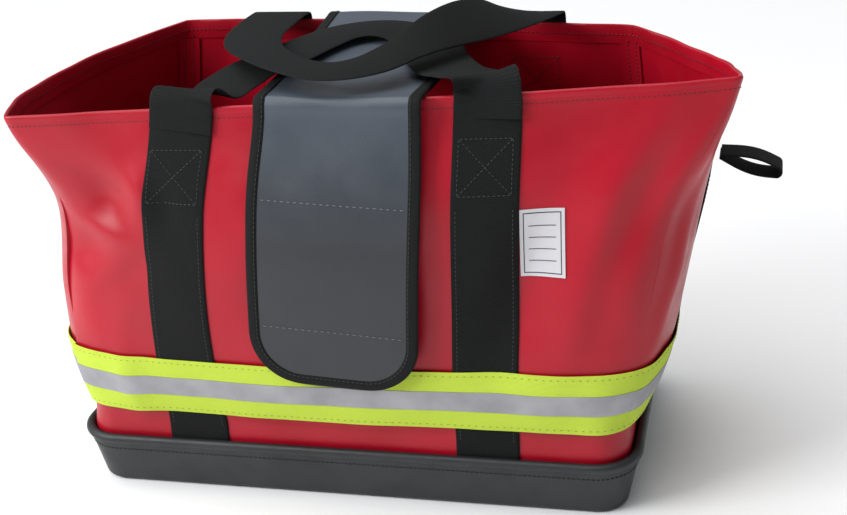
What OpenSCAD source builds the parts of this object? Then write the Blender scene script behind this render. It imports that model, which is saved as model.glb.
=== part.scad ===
// Open-top equipment tote bag of coated vinyl on a moulded rubber base tray.
// Webbing straps run up the walls and become two carrying handles, and a padded
// flap crosses the mouth and closes over the front with hook-and-loop tape.
// Origin: centre of the tray's flat underside. +Z is up and the front faces -Y.

/* [Base tray] */
// Outside length of the tray at its floor
tray_l = 446; // [400:2:480]
// Outside width of the tray at its floor
tray_w = 236; // [210:2:260]
// Height of the tray's wall up to the centre of its lip bead
tray_wall_h = 44; // [34:1:50]
// How far each tray wall flares outward
tray_flare = 9; // [6:1:14]
// Radius of the tray's corners at its floor
tray_r = 26; // [20:1:40]
// Thickness of the tray's walls
tray_wall = 3.4; // [2.6:0.2:4]
// Thickness of the tray's floor
tray_floor = 5; // [3:0.5:8]
// Radius of the rolled bead on the tray's lip
bead_r = 4; // [3:0.5:5]

/* [Vinyl bag] */
// Thickness of the coated vinyl walls
vinyl = 2; // [1:0.2:3]
// Lift of the whole rim above its normal height
rim_lift = 0; // [-20:2:20]
// Depth of the turned hem along the rim
hem_h = 16; // [10:1:25]

/* [Webbing] */
// Width of the main webbing
web_w = 50; // [40:1:55]
// Thickness of the main webbing
web_t = 1.6; // [1:0.2:2]
// Width of the webbing on the ends
end_web_w = 26; // [20:1:38]
// How far each end grab loop stands out
loop_reach = 48; // [40:2:60]

/* [Closure flap] */
// Width of the closure flap with its binding
flap_w = 134; // [110:2:140]
// Thickness of the padded flap
flap_t = 2.6; // [2:0.2:4]
// Height of the flap's lower edge above the ground
flap_bottom_z = 110; // [90:2:140]
// Radius of the flap's lower corners
flap_r = 42; // [20:1:60]
// Visible width of the edge binding
binding_w = 9; // [6:1:12]
// Width of the hook-and-loop tape pads
pad_w = 96; // [60:2:100]

/* [Hi-visibility trim] */
// Height of the trim band's lower edge above the ground
trim_z = 72; // [66:1:100]
// Height of the whole trim band
trim_h = 51; // [40:1:60]
// Height of the reflective stripe in the middle
reflector_h = 17; // [10:1:25]

/* [Label] */
// Width of the sewn label
label_w = 33; // [25:1:40]
// Height of the sewn label
label_h = 52; // [40:1:60]

/* [Hidden] */

vinyl_red = [0.72, 0.08, 0.13];
rubber_black = [0.19, 0.20, 0.21];
webbing_black = [0.13, 0.14, 0.14];
flap_slate = [0.27, 0.30, 0.35];
binding_black = [0.16, 0.17, 0.17];
tape_lime = [0.75, 0.85, 0.30];
reflector_silver = [0.60, 0.60, 0.62];
label_white = [0.93, 0.92, 0.94];
board_brown = [0.45, 0.38, 0.30];

// Gap kept between layers that lie on each other
gap = 0.3;
// Gap between the wall and what is sewn to its outside
outer_gap = 0.4;
// Gap between the wall and what is sewn to its inside
inner_gap = 0.6;
// Thicknesses of the thin sewn pieces
seam_t = 1.2;
hem_t = 1;
pad_t = 1.2;
tape_t = 0.6;
reflector_t = 0.4;
label_t = 0.6;
handle_t = 2;
// How far the edge binding stands proud of each face of the flap
binding_t = 0.5;

// ---- Small helpers ----

function lerp(a, b, u) = a + (b - a) * u;

function unit(v) = v / norm(v);

// Smooth step from 0 to 1
function ease(u) = u * u * (3 - 2 * u);

// Smooth value at t (0 to 1) through evenly spaced stations
function along(v, t) =
    let(n = len(v) - 1,
        k = min(floor(t * n), n - 1),
        w = t * n - k,
        p0 = v[max(k - 1, 0)],
        p1 = v[k],
        p2 = v[k + 1],
        p3 = v[min(k + 2, n)])
    0.5 * (2 * p1 + (p2 - p0) * w + (2 * p0 - 5 * p1 + 4 * p2 - p3) * w * w
           + (3 * p1 - p0 - 3 * p2 + p3) * w * w * w);

// ---- The bag's outer surface ----
// s runs once round the bag: 0 to 1 front (left to right), 1 to 2 right end,
// 2 to 3 back (right to left), 3 to 4 left end. t runs from the floor (0) to the rim (1).

// Corner stations at five even heights, as [x, y]
front_left = [[-205, -106], [-228, -118], [-230, -112], [-224, -106], [-251, -119]];
front_right = [[205, -106], [231, -118], [246, -107], [268, -92], [303, -67]];
back_right = [[205, 106], [224, 120], [221, 114], [216, 104], [211, 91]];
back_left = [[-205, 106], [-215, 120], [-207, 115], [-195, 106], [-182, 97]];
// Outward bow of the walls at the same heights
bow_front_left = [0, 9, 27, 31, 3];
bow_front_right = [0, 8, 14, 20, 15];
bow_right_end = [0, 16, 28, 33, 24];
bow_left_end = [0, 22, 40, 40, 40];
bow_back = [0, 4, 8, 8, 10];
// Corner radius at the same heights
corner_round = [30, 38, 30, 20, 7];
// Height where the walls start inside the tray, and height of the rim at each corner
wall_z0 = tray_floor + 4;
rim_corner_z = [319, 338, 336, 341];
// Dip of the rim in the middle of each end
rim_end_dip = 6;

function corner(k, t) =
    along([front_left, front_right, back_right, back_left][k % 4], t);

function side_bow(k, u, t) =
    k == 0 ? lerp(along(bow_front_left, t), along(bow_front_right, t), ease(u))
             * (1 - pow(abs(2 * u - 1), 2.5)) * [0, -1]
    : k == 1 ? along(bow_right_end, t) * 4 * u * (1 - u) * [1, 0]
    : k == 2 ? along(bow_back, t) * 4 * u * (1 - u) * [0, 1]
    : along(bow_left_end, t) * 4 * u * (1 - u) * [-1, 0];

function sharp_outline(s, t) =
    let(q = (s + 4) % 4,
        k = floor(q),
        u = q - k)
    lerp(corner(k, t), corner(k + 1, t), u) + side_bow(k, u, t);

function side_len(k, t) = norm(corner((k + 5) % 4, t) - corner((k + 4) % 4, t));

// Outline with each corner rounded by a quadratic curve
function outline(s, t) =
    let(k = round(s),
        d = s - k,
        m = along(corner_round, t) / side_len(d < 0 ? k - 1 : k, t),
        before = along(corner_round, t) / side_len(k - 1, t),
        after = along(corner_round, t) / side_len(k, t),
        w = 0.5 + 0.5 * d / m)
    abs(d) >= m ? sharp_outline(s, t)
    : (1 - w) * (1 - w) * sharp_outline(k - before, t)
      + 2 * w * (1 - w) * sharp_outline(k, t)
      + w * w * sharp_outline(k + after, t);

function outward(s, t) =
    let(d = outline(s + 0.004, t) - outline(s - 0.004, t))
    unit([d.y, -d.x]);

function rim_z(s) =
    let(q = (s + 4) % 4,
        k = floor(q))
    rim_lift + lerp(rim_corner_z[k], rim_corner_z[(k + 1) % 4], q - k)
    - (k % 2) * rim_end_dip * 4 * (q - k) * (1 - q + k);

function t_at(s, z) = (z - wall_z0) / (rim_z(s) - wall_z0);

// Point on the bag at (s, t), moved out from the surface by off
function wall(s, t, off) =
    let(p = outline(s, t) + outward(s, t) * off)
    [p.x, p.y, lerp(wall_z0, rim_z(s), t)];

// s of a given x on the front and on the back
function front_s(x, t) =
    let(a = corner(0, t).x,
        b = corner(1, t).x)
    (x - a) / (b - a);

function back_s(x, t) =
    let(a = corner(2, t).x,
        b = corner(3, t).x)
    2 + (x - a) / (b - a);

// ---- Solids made from a grid of points ----

// Closed solid between an inner (w = 0) and an outer (w = 1) grid of points f(u, v, w)
module layer(f, us, vs) {
    nu = len(us);
    nv = len(vs);
    inner = 0;
    outer = nu * nv;
    points = [for (w = [0, 1]) for (v = vs) for (u = us) f(u, v, w)];
    skin = [for (j = [0:nv - 2]) for (i = [0:nu - 2])
            let(a = j * nu + i,
                b = a + 1,
                c = a + nu + 1,
                d = a + nu)
            each [[outer + a, outer + d, outer + c], [outer + a, outer + c, outer + b],
                  [inner + a, inner + c, inner + d], [inner + a, inner + b, inner + c]]];
    edge = concat([for (i = [0:nu - 1]) i],
                  [for (j = [1:nv - 1]) j * nu + nu - 1],
                  [for (i = [nu - 2:-1:0]) (nv - 1) * nu + i],
                  [for (j = [nv - 2:-1:1]) j * nu]);
    ne = len(edge);
    rim = [for (k = [0:ne - 1])
           let(a = edge[k],
               b = edge[(k + 1) % ne])
           each [[inner + a, outer + a, outer + b], [inner + a, outer + b, inner + b]]];
    polyhedron(points, concat(skin, rim), convexity = 8);
}

// The same, closed right round the bag
module band(f, us, vs) {
    nu = len(us);
    nv = len(vs);
    inner = 0;
    outer = nu * nv;
    points = [for (w = [0, 1]) for (v = vs) for (u = us) f(u, v, w)];
    skin = [for (j = [0:nv - 2]) for (i = [0:nu - 1])
            let(a = j * nu + i,
                b = j * nu + (i + 1) % nu,
                c = b + nu,
                d = a + nu)
            each [[outer + a, outer + d, outer + c], [outer + a, outer + c, outer + b],
                  [inner + a, inner + c, inner + d], [inner + a, inner + b, inner + c]]];
    top = (nv - 1) * nu;
    rim = [for (i = [0:nu - 1])
           let(a = i,
               b = (i + 1) % nu,
               c = top + b,
               d = top + a)
           each [[inner + a, outer + a, outer + b], [inner + a, outer + b, inner + b],
                 [inner + d, inner + c, outer + c], [inner + d, outer + c, outer + d]]];
    polyhedron(points, concat(skin, rim), convexity = 8);
}

// Even steps from a to b
function steps(a, b, n) = [for (i = [0:n]) lerp(a, b, i / n)];

// Positions round one side, closer together near its corners
function side_steps(k) =
    concat([k, k + 0.03, k + 0.07, k + 0.13], steps(k + 0.22, k + 0.78, 6),
           [k + 0.87, k + 0.93, k + 0.97]);

wrap_steps = concat([for (k = [-1, 0, 1]) each side_steps(k)], [2]);
round_steps = [for (k = [0:3]) each side_steps(k)];
// The same with the middle of each side divided once more
fine_steps = [for (k = [0:3])
              each concat([k, k + 0.03, k + 0.07, k + 0.13], steps(k + 0.22, k + 0.78, 12),
                          [k + 0.87, k + 0.93, k + 0.97])];
wall_rows = 16;
wall_heights = steps(0, 1, wall_rows);

// ---- Base ----

// Radius of the tray's rounded foot, and depth of its wall section at the floor
foot_r = 4;
foot_depth = 8;
// The vinyl bottom and the board on it: thickness, and inset from the tray's outline
panel_t = 2;
panel_inset = 9;
board_t = 3;
board_inset = 24;

// Half of the tray's wall section: x is the distance from the corner's centre
module tray_section() {
    slope = tray_flare / tray_wall_h;
    top_x = tray_r + tray_flare;
    foot = [for (a = [270:15:345])
            [tray_r + foot_r * (cos(a) - 1), foot_r * (1 + sin(a))]];
    union() {
        polygon(concat(foot,
                       [[top_x, tray_wall_h],
                        [top_x - tray_wall, tray_wall_h],
                        [tray_r - tray_wall + slope * tray_floor, tray_floor],
                        [tray_r - foot_depth, tray_floor],
                        [tray_r - foot_depth, 0]]));
        translate([top_x - tray_wall / 2, tray_wall_h]) circle(r = bead_r, $fn = 40);
    }
}

module base_tray() {
    cx = tray_l / 2 - tray_r;
    cy = tray_w / 2 - tray_r;
    color(rubber_black) {
        for (sx = [-1, 1])
            for (sy = [-1, 1])
                translate([sx * cx, sy * cy, 0])
                    rotate([0, 0, sx > 0 ? (sy > 0 ? 0 : 270) : (sy > 0 ? 90 : 180)])
                        rotate_extrude(angle = 90, $fn = 96) tray_section();
        for (sx = [-1, 1])
            translate([sx * cx, sx * cy, 0])
                rotate([90, 0, sx > 0 ? 0 : 180]) linear_extrude(2 * cy) tray_section();
        for (sy = [-1, 1])
            translate([-sy * cx, sy * cy, 0])
                rotate([90, 0, sy > 0 ? 90 : 270]) linear_extrude(2 * cx) tray_section();
        linear_extrude(tray_floor) {
            square([2 * cx, 2 * (cy + tray_r - foot_depth)], center = true);
            square([2 * (cx + tray_r - foot_depth), 2 * cy], center = true);
            for (sx = [-1, 1])
                for (sy = [-1, 1])
                    translate([sx * cx, sy * cy]) circle(r = tray_r - foot_depth, $fn = 96);
        }
    }
}

// Flat sheet with round corners, set in from the tray's floor outline
module tray_sheet(inset, thickness) {
    cx = tray_l / 2 - tray_r;
    cy = tray_w / 2 - tray_r;
    r = tray_r - inset;
    linear_extrude(thickness) {
        square([2 * cx, 2 * (cy + r)], center = true);
        square([2 * (cx + r), 2 * cy], center = true);
        for (sx = [-1, 1])
            for (sy = [-1, 1])
                translate([sx * cx, sy * cy]) circle(r = r, $fn = 64);
    }
}

module floor_panel() {
    color(vinyl_red) translate([0, 0, tray_floor]) tray_sheet(panel_inset, panel_t);
}

module stiffener_board() {
    color(board_brown) translate([0, 0, tray_floor + panel_t])
        tray_sheet(board_inset, board_t);
}

// ---- Vinyl walls ----

module body_wrap() {
    color(vinyl_red)
        layer(function (s, t, w) wall(s, t, (w - 1) * vinyl), wrap_steps, wall_heights);
}

// The back panel stops just short of the wrap at its two corners
slot = 0.001;

module back_panel() {
    color(vinyl_red)
        layer(function (s, t, w) wall(s, t, (w - 1) * vinyl),
              concat([2 + slot], [for (s = side_steps(2)) if (s > 2) s], [3 - slot]), wall_heights);
}

// Folded seam allowance that joins the wrap and the back panel, inside a back corner
module seam(side) {
    k = side > 0 ? 2 : 3;
    top_row = wall_rows - 1;
    color(vinyl_red)
        layer(function (s, row, w)
                  wall(s, row / wall_rows, -vinyl - inner_gap + (w - 1) * seam_t),
              [k - 0.03, k, k + 0.03], steps(1, top_row, top_row - 1));
}

// The hem is turned to the inside and stitched through
module rim_hem() {
    color(vinyl_red)
        band(function (s, v, w)
                 wall(s, t_at(s, rim_z(s) - hem_h * (1 - v)), -vinyl - inner_gap + (w - 1) * hem_t),
             round_steps, [0, 1 / 3, 2 / 3, 1]);
}

// ---- Webbing ----

strap_heights = concat([0.03], steps(1, wall_rows - 1, wall_rows - 2) / wall_rows, [0.995]);

// Centre of each front strap, and of the two back straps, at five even heights
front_strap_x = [[-122, -123, -122, -118, -107], [116, 117, 120, 122, 124]];
back_strap_x = [[-107, -107, -105, -101, -93], [119, 121, 123, 126, 129]];

module front_strap(side) {
    color(webbing_black)
        layer(function (u, t, w)
                  wall(front_s(along(front_strap_x[side], t) + u * web_w / 2, t), t,
                       outer_gap + w * web_t),
              steps(-1, 1, 4), strap_heights);
}

module back_strap(side) {
    color(webbing_black)
        layer(function (u, t, w)
                  wall(back_s(along(back_strap_x[side], t) - u * web_w / 2, t), t,
                       outer_gap + w * web_t),
              steps(-1, 1, 4), strap_heights);
}

// Flat webbing along a path of points, with the way across the webbing at each point and
// the share of its width that is left where it is gathered
module webbing(path, across, spread) {
    n = 48;
    function at(i) = along(path, i / n);
    function tangent(i) = unit(at(min(i + 0.5, n)) - at(max(i - 0.5, 0)));
    function side(i) = along(across, i / n);
    function face(i) = unit(cross(side(i), tangent(i)));
    function half(i) = along(spread, i / n) * web_w / 2;
    layer(function (u, i, w) at(i) + side(i) * u * half(i) + face(i) * (w - 0.5) * handle_t,
          [-1, 0, 1], [for (i = [0:n]) i]);
}

// Carrying handles as they lie: centre lines, and the way across the webbing.
// The front handle lies back over the flap, and the back handle lies forward over it.
front_handle_path = [[-107, -111, 326], [-105.5, -108, 334], [-101, -98, 335.5],
                     [-91, -84, 328.5], [-82, -68, 332], [-68, -47, 338.2], [-54, -24, 339.8],
                     [-42, 12, 340.5], [-22, 41, 343], [6, 50, 344.5], [34, 41, 343], [57, 12, 340.5],
                     [72, -24, 338.8], [88, -54, 338.8], [106, -77, 342.5], [119, -89, 344.5],
                     [123, -94, 341], [124, -96.8, 334]];
front_handle_across = [[1, 0, 0], [1, 0, 0], [0.98, -0.1, 0], [0.92, -0.2, 0], [0.88, -0.28, 0],
                       [0.86, -0.34, 0],
                       [0.86, -0.38, 0], [0.8, -0.52, 0], [0.45, -0.84, 0], [0, -0.96, 0],
                       [-0.45, -0.84, 0], [-0.8, -0.5, 0], [-0.86, -0.36, 0],
                       [-0.84, -0.32, 0], [-0.9, -0.2, 0], [-0.98, -0.1, 0], [-1, 0, 0],
                       [-1, 0, 0]];
back_handle_path = [[-93, 104, 341.5], [-93, 101, 345.5], [-93, 88, 347], [-93, 54, 347],
                    [-90, 18, 347.5], [-78, -20, 348.5], [-56, -53, 349.5], [-27, -80, 349],
                    [5, -93, 348.5], [34, -82, 350.5], [55, -50, 354.5], [74, -16, 359],
                    [93, 14, 360], [111, 44, 357.5], [121, 68, 352.5], [127, 88, 348],
                    [128.8, 98.2, 344.6], [129, 100.8, 338.8]];
back_handle_across = [[-1, 0, 0], [-1, 0, 0], [-1, 0, 0], [-1, 0, 0], [-0.97, -0.24, 0],
                      [-0.85, -0.5, 0.02], [-0.7, -0.7, 0.02], [-0.42, -0.9, 0], [0, -1, -0.1],
                      [0.5, -0.84, -0.18], [0.82, -0.52, -0.3], [0.74, -0.44, -0.5],
                      [0.76, -0.4, -0.5], [0.84, -0.38, -0.36], [0.93, -0.3, -0.18],
                      [0.98, -0.12, -0.06], [1, 0, 0], [1, 0, 0]];
// The back handle's webbing is gathered where a hand holds it
back_handle_spread = [1, 1, 1, 1, 0.97, 0.9, 0.8, 0.74, 0.72, 0.68, 0.64, 0.8,
                      0.95, 1, 1, 1, 1, 1];

module front_handle() {
    color(webbing_black) webbing(front_handle_path, front_handle_across, [1, 1]);
}

module back_handle() {
    color(webbing_black)
        webbing(back_handle_path, back_handle_across, back_handle_spread);
}

// End straps run up the middle of each end panel, between these heights
end_strap_z0 = 24;
end_strap_z1 = 285;
// Length of an end panel at strap height
end_len = side_len(1, 0.8);
// Where the grab loops leave the end straps
loop_root_left = [-257.2, 0, 252];
loop_root_right = [285.6, 6, 257];

module end_strap(side) {
    mid = side > 0 ? 1.5 : 3.5;
    color(webbing_black)
        layer(function (u, z, w)
                  let(s = mid + u * end_web_w / 2 / end_len)
                  wall(s, t_at(s, z), outer_gap + w * web_t),
              steps(-1, 1, 2), steps(end_strap_z0, end_strap_z1, 20));
}

// Outline of a thin sheet that follows a path and lies on its left-hand side
function sheet_outline(path, a, b) =
    let(n = len(path) - 1,
        dirs = [for (i = [0:n]) unit(path[min(i + 1, n)] - path[max(i - 1, 0)])],
        left = [for (d = dirs) [-d.y, d.x]])
    concat([for (i = [0:n]) path[i] + left[i] * a], [for (i = [n:-1:0]) path[i] + left[i] * b]);

// Closed outline moved out by a distance; the path runs clockwise
function moved_out(path, distance) =
    let(n = len(path))
    [for (i = [0:n - 1])
     let(d = unit(path[(i + 1) % n] - path[(i + n - 1) % n]))
     path[i] + [-d.y, d.x] * distance];

// Grab loop: webbing that leaves the wall, turns round a narrow nose and comes back.
// It stands out along +X from the origin, and swell is how far its sides part.
module grab_loop(swell) {
    root_r = 2.4;
    nose_r = 4;
    out = loop_reach - nose_r;
    function half_height(u) = lerp(root_r, nose_r, u) + swell * sin(180 * u);
    upper = [for (u = steps(0, 1, 7)) [u * out, half_height(u)]];
    nose = [for (a = [60:-30:-60]) [out + nose_r * cos(a), nose_r * sin(a)]];
    lower = [for (u = steps(1, 0, 7)) [u * out, -half_height(u)]];
    root = [for (a = [240:-30:120]) [root_r * cos(a), root_r * sin(a)]];
    loop = concat(upper, nose, lower, root);
    color(webbing_black)
        translate([0, end_web_w / 2, 0]) rotate([90, 0, 0]) linear_extrude(end_web_w)
            difference() {
                polygon(moved_out(loop, web_t / 2));
                polygon(moved_out(loop, -web_t / 2));
            }
}

module end_loop_left() {
    translate(loop_root_left) rotate([0, 72, 180]) grab_loop(2.5);
}

module end_loop_right() {
    translate(loop_root_right) rotate([0, 16, 0]) grab_loop(3.4);
}

// ---- Closure flap ----

// Middle of the hanging flap and of the bridge, and the flap's position round the bag
flap_x = 7;
bridge_x = 15;
flap_s = 0.46;
// Sag of the flap across the mouth
bridge_sag = 4;
// Lean of the flap's outline, about a point at this height
flap_lean = 3.5;
flap_lean_z = 200;
// Front of the bag behind the flap at height z: the furthest forward of the wall across it
function flap_wall_y(z) =
    min([for (x = [-70:20:70])
         let(s = front_s(flap_x + x, t_at(flap_s, z)))
         wall(s, t_at(s, z), 0).y]);

// Gap between the wall and the flap, and between the rim and the bridge
flap_clear = 4.4;
rim_clear = 3.4;
// Depth under the rim where the wall's front is still measured
rim_margin = 4;
// Fold line of the flap over the front rim: its two parts stop short of it on either side
fold_gap = 3.5;
front_rim_z = rim_z(flap_s);
fold_y = flap_wall_y(front_rim_z - rim_margin) - flap_clear - flap_t / 2;
fold_z = front_rim_z + rim_clear + flap_t / 2;
back_rim_z = rim_z(2.5);
back_rim_y = wall(2.5, 1, 0).y;
// Radius of the bridge's turn over the back rim, its centre's depth under the rim, and
// how far the bridge hangs down the outside of the back
back_turn_r = 5.5;
back_turn_drop = 2.1;
bridge_tail = 50;

// Lines of the flap's inner face in the plane of Y and Z: down the front, and from the
// fold across the mouth, over the back rim and down the outside of the back
hang_path = [for (z = concat(steps(flap_bottom_z, front_rim_z - 22, 14),
                             [front_rim_z - 10, fold_z - fold_gap]))
             [flap_wall_y(min(z, front_rim_z - rim_margin)) - flap_clear, z]];
bridge_path = concat(
    [[fold_y + fold_gap, front_rim_z + rim_clear]],
    [for (u = steps(0.06, 0.94, 8))
     [lerp(fold_y, back_rim_y, u),
      lerp(front_rim_z, back_rim_z, u) + rim_clear - bridge_sag * 4 * u * (1 - u)]],
    [for (a = [100:-35:-5])
     [back_rim_y + back_turn_r * cos(a), back_rim_z - back_turn_drop + back_turn_r * sin(a)]],
    [[back_rim_y + 6, back_rim_z - bridge_tail / 2], [back_rim_y + 8, back_rim_z - bridge_tail]]);

// Sheet of a given width that follows the path, between two distances from it
module flap_sheet(path, a, b, width, x = flap_x) {
    translate([x - width / 2, 0, 0])
        rotate([90, 0, 90]) linear_extrude(width) polygon(sheet_outline(path, a, b));
}

// Longer than the flap, so that its cutting outline passes right through it
flap_reach = 400;

// Front view of the hanging flap, set in from its edge
module flap_shape(inset) {
    half = flap_w / 2 - inset;
    r = flap_r - inset;
    translate([-half, flap_bottom_z + flap_r]) square([2 * half, flap_reach]);
    translate([-half + r, flap_bottom_z + inset]) square([2 * (half - r), flap_reach]);
    for (m = [-1, 1])
        translate([m * (half - r), flap_bottom_z + flap_r]) circle(r = r, $fn = 64);
}

module flap_column(inset) {
    translate([flap_x, flap_reach / 2, flap_lean_z])
        rotate([0, flap_lean, 0]) rotate([90, 0, 0]) linear_extrude(flap_reach)
            translate([0, -flap_lean_z]) flap_shape(inset);
}

module flap_front() {
    color(flap_slate) intersection() {
        flap_sheet(hang_path, 0, flap_t, 2 * flap_w);
        flap_column(binding_w);
    }
}

module flap_front_binding() {
    color(binding_black) intersection() {
        flap_sheet(hang_path, -binding_t, flap_t + binding_t, 2 * flap_w);
        difference() {
            flap_column(0);
            flap_column(binding_w);
        }
    }
}

module flap_bridge() {
    color(flap_slate) flap_sheet(bridge_path, 0, flap_t, flap_w - 2 * binding_w, bridge_x);
}

module flap_bridge_binding() {
    color(binding_black) difference() {
        flap_sheet(bridge_path, -binding_t, flap_t + binding_t, flap_w, bridge_x);
        flap_sheet(bridge_path, -flap_t, 2 * flap_t, flap_w - 2 * binding_w, bridge_x);
    }
}

// Hook tape behind the flap and loop tape on the wall, between the flap's two stitch rows
pad_z0 = 154;
pad_z1 = 252;

module hook_patch() {
    inner = [for (z = steps(pad_z0, pad_z1, 6)) [flap_wall_y(z) - flap_clear, z]];
    color(binding_black) flap_sheet(inner, -pad_t, -0.1, pad_w);
}

module loop_patch() {
    color(binding_black)
        layer(function (x, z, w)
                  let(s = front_s(flap_x + x, t_at(flap_s, z)))
                  wall(s, t_at(s, z), gap + w * pad_t),
              steps(-pad_w / 2, pad_w / 2, 6), steps(pad_z0, pad_z1, 4));
}

// ---- Trim and label ----

// The band lies over the straps
trim_off = outer_gap + web_t + gap;

module trim_tape() {
    color(tape_lime)
        band(function (s, z, w) wall(s, t_at(s, z), trim_off + w * tape_t),
             fine_steps, steps(trim_z, trim_z + trim_h, 6));
}

module trim_reflector() {
    low = trim_z + (trim_h - reflector_h) / 2;
    color(reflector_silver)
        band(function (s, z, w) wall(s, t_at(s, z), trim_off + tape_t + 0.1 + w * reflector_t),
             fine_steps, steps(low, low + reflector_h, 2));
}

// Middle of the label, and its position round the bag
label_x = 163.4;
label_z = 224;
label_s = 0.75;

module label() {
    color(label_white)
        layer(function (x, z, w)
                  let(s = front_s(label_x + x, t_at(label_s, z)))
                  wall(s, t_at(s, z), outer_gap + w * label_t),
              steps(-label_w / 2, label_w / 2, 2),
              steps(label_z - label_h / 2, label_z + label_h / 2, 2));
}

base_tray();
floor_panel();
stiffener_board();
body_wrap();
back_panel();
rim_hem();
seam(-1);  // seam_left
seam(1);  // seam_right
front_strap(0);  // front_strap_left
front_strap(1);  // front_strap_right
back_strap(0);  // back_strap_left
back_strap(1);  // back_strap_right
front_handle();
back_handle();
end_strap(-1);  // end_strap_left
end_strap(1);  // end_strap_right
end_loop_left();
end_loop_right();
flap_bridge();
flap_bridge_binding();
flap_front();
flap_front_binding();
hook_patch();
loop_patch();
trim_tape();
trim_reflector();
label();
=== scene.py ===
"""Looks of the equipment tote bag: vinyl walls, webbing, closure flap, trim and stitching."""

import math

import bpy
import numpy as np
from mathutils import Matrix, Vector


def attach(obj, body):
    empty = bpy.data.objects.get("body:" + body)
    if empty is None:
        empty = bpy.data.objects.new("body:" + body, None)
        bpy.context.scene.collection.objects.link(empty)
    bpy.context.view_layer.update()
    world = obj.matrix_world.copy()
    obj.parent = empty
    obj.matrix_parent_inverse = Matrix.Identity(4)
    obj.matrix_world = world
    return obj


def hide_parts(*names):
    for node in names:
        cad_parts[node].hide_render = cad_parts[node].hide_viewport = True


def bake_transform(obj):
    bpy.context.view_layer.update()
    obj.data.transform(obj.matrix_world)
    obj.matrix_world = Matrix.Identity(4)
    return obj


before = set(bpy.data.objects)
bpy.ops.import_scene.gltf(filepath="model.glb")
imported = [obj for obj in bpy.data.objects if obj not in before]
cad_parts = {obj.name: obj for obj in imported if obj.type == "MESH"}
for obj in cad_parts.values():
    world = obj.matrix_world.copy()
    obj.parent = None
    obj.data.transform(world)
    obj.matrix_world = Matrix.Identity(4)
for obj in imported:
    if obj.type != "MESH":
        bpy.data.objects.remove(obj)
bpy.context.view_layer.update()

# Lengths below are in millimetres; meshes are made in metres
MM = 0.001


def put_in_scene(name, data):
    thing = bpy.data.objects.new(name, data)
    bpy.context.scene.collection.objects.link(thing)
    return thing


# ---- Camera ----


def place_camera():
    azimuth, elevation, roll = (math.radians(v) for v in (14.4, 22.8, -3.8))
    target, distance = Vector((0.044, 0.0, 0.1618)), 1.2114
    forward = Vector((-math.sin(azimuth) * math.cos(elevation),
                      math.cos(azimuth) * math.cos(elevation), -math.sin(elevation)))
    level = Vector((math.cos(azimuth), math.sin(azimuth), 0))
    upright = level.cross(forward)
    right = math.cos(roll) * level + math.sin(roll) * upright
    up = math.cos(roll) * upright - math.sin(roll) * level
    data = bpy.data.cameras.new("camera")
    data.sensor_width = 36
    data.lens = 61.63
    camera = put_in_scene("camera", data)
    turn = Matrix((right, up, -forward)).transposed().to_4x4()
    camera.matrix_world = Matrix.Translation(target - forward * distance) @ turn
    bpy.context.scene.camera = camera


place_camera()

# ---- Small helpers ----


def lerp(a, b, u):
    return a + (b - a) * u


def ease(u):
    u = np.clip(u, 0, 1)
    return u * u * (3 - 2 * u)


def unit(v):
    v = np.asarray(v, float)
    return v / np.maximum(np.linalg.norm(v, axis=-1, keepdims=True), 1e-9)


def hump(x, centre, width):
    """1 at the centre, falling smoothly to 0 a few widths away."""
    return np.exp(-(((x - centre) / width) ** 2))


def along(stations, t):
    """Smooth value at t (0 to 1) through evenly spaced stations."""
    v = np.asarray(stations, float)
    n = len(v) - 1
    t = np.asarray(t, float)
    k = np.clip(np.floor(t * n), 0, n - 1).astype(int)
    w = t * n - k
    if v.ndim > 1:
        w = w[..., None]
    p0, p1, p2, p3 = v[np.maximum(k - 1, 0)], v[k], v[k + 1], v[np.minimum(k + 2, n)]
    return 0.5 * (2 * p1 + (p2 - p0) * w + (2 * p0 - 5 * p1 + 4 * p2 - p3) * w**2
                  + (3 * p1 - p0 - 3 * p2 + p3) * w**3)


# ---- The bag's outer surface, as the CAD part has it ----
# s runs once round: 0 to 1 front (left to right), 1 to 2 right end, 2 to 3 back,
# 3 to 4 left end. t runs from the floor (0) to the rim (1).

CORNERS = np.array([
    [[-205, -106], [-228, -118], [-230, -112], [-224, -106], [-251, -119]],
    [[205, -106], [231, -118], [246, -107], [268, -92], [303, -67]],
    [[205, 106], [224, 120], [221, 114], [216, 104], [211, 91]],
    [[-205, 106], [-215, 120], [-207, 115], [-195, 106], [-182, 97]]], float)
BOW_FRONT_LEFT = [0, 9, 27, 31, 3]
BOW_FRONT_RIGHT = [0, 8, 14, 20, 15]
BOW_RIGHT_END = [0, 16, 28, 33, 24]
BOW_BACK = [0, 4, 8, 8, 10]
BOW_LEFT_END = [0, 22, 40, 40, 40]
BOW_WAYS = np.array([[0, -1], [1, 0], [0, 1], [-1, 0]], float)
CORNER_ROUND = [30, 38, 30, 20, 7]
RIM_CORNER_Z = np.array([319, 338, 336, 341], float)
RIM_END_DIP = 6
WALL_Z0 = 9
TRAY_L, TRAY_W, TRAY_R, TRAY_H, TRAY_FLARE, TRAY_WALL = 446, 236, 26, 44, 9, 3.4
VINYL = 2.0
WEB_W = 50
WEB_T = 1.6
STRAP_OFF = 0.4
TRIM_OFF = 2.3


def pick(options, k):
    """For each k the option of that number."""
    stack = np.stack(options)
    index = np.broadcast_to(k, stack.shape[1:1 + k.ndim])[None]
    if stack.ndim > index.ndim:
        index = index[..., None]
    return np.take_along_axis(stack, index, 0)[0]


def corner(k, t):
    return pick([along(c, t) for c in CORNERS], np.mod(k, 4).astype(int))


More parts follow.
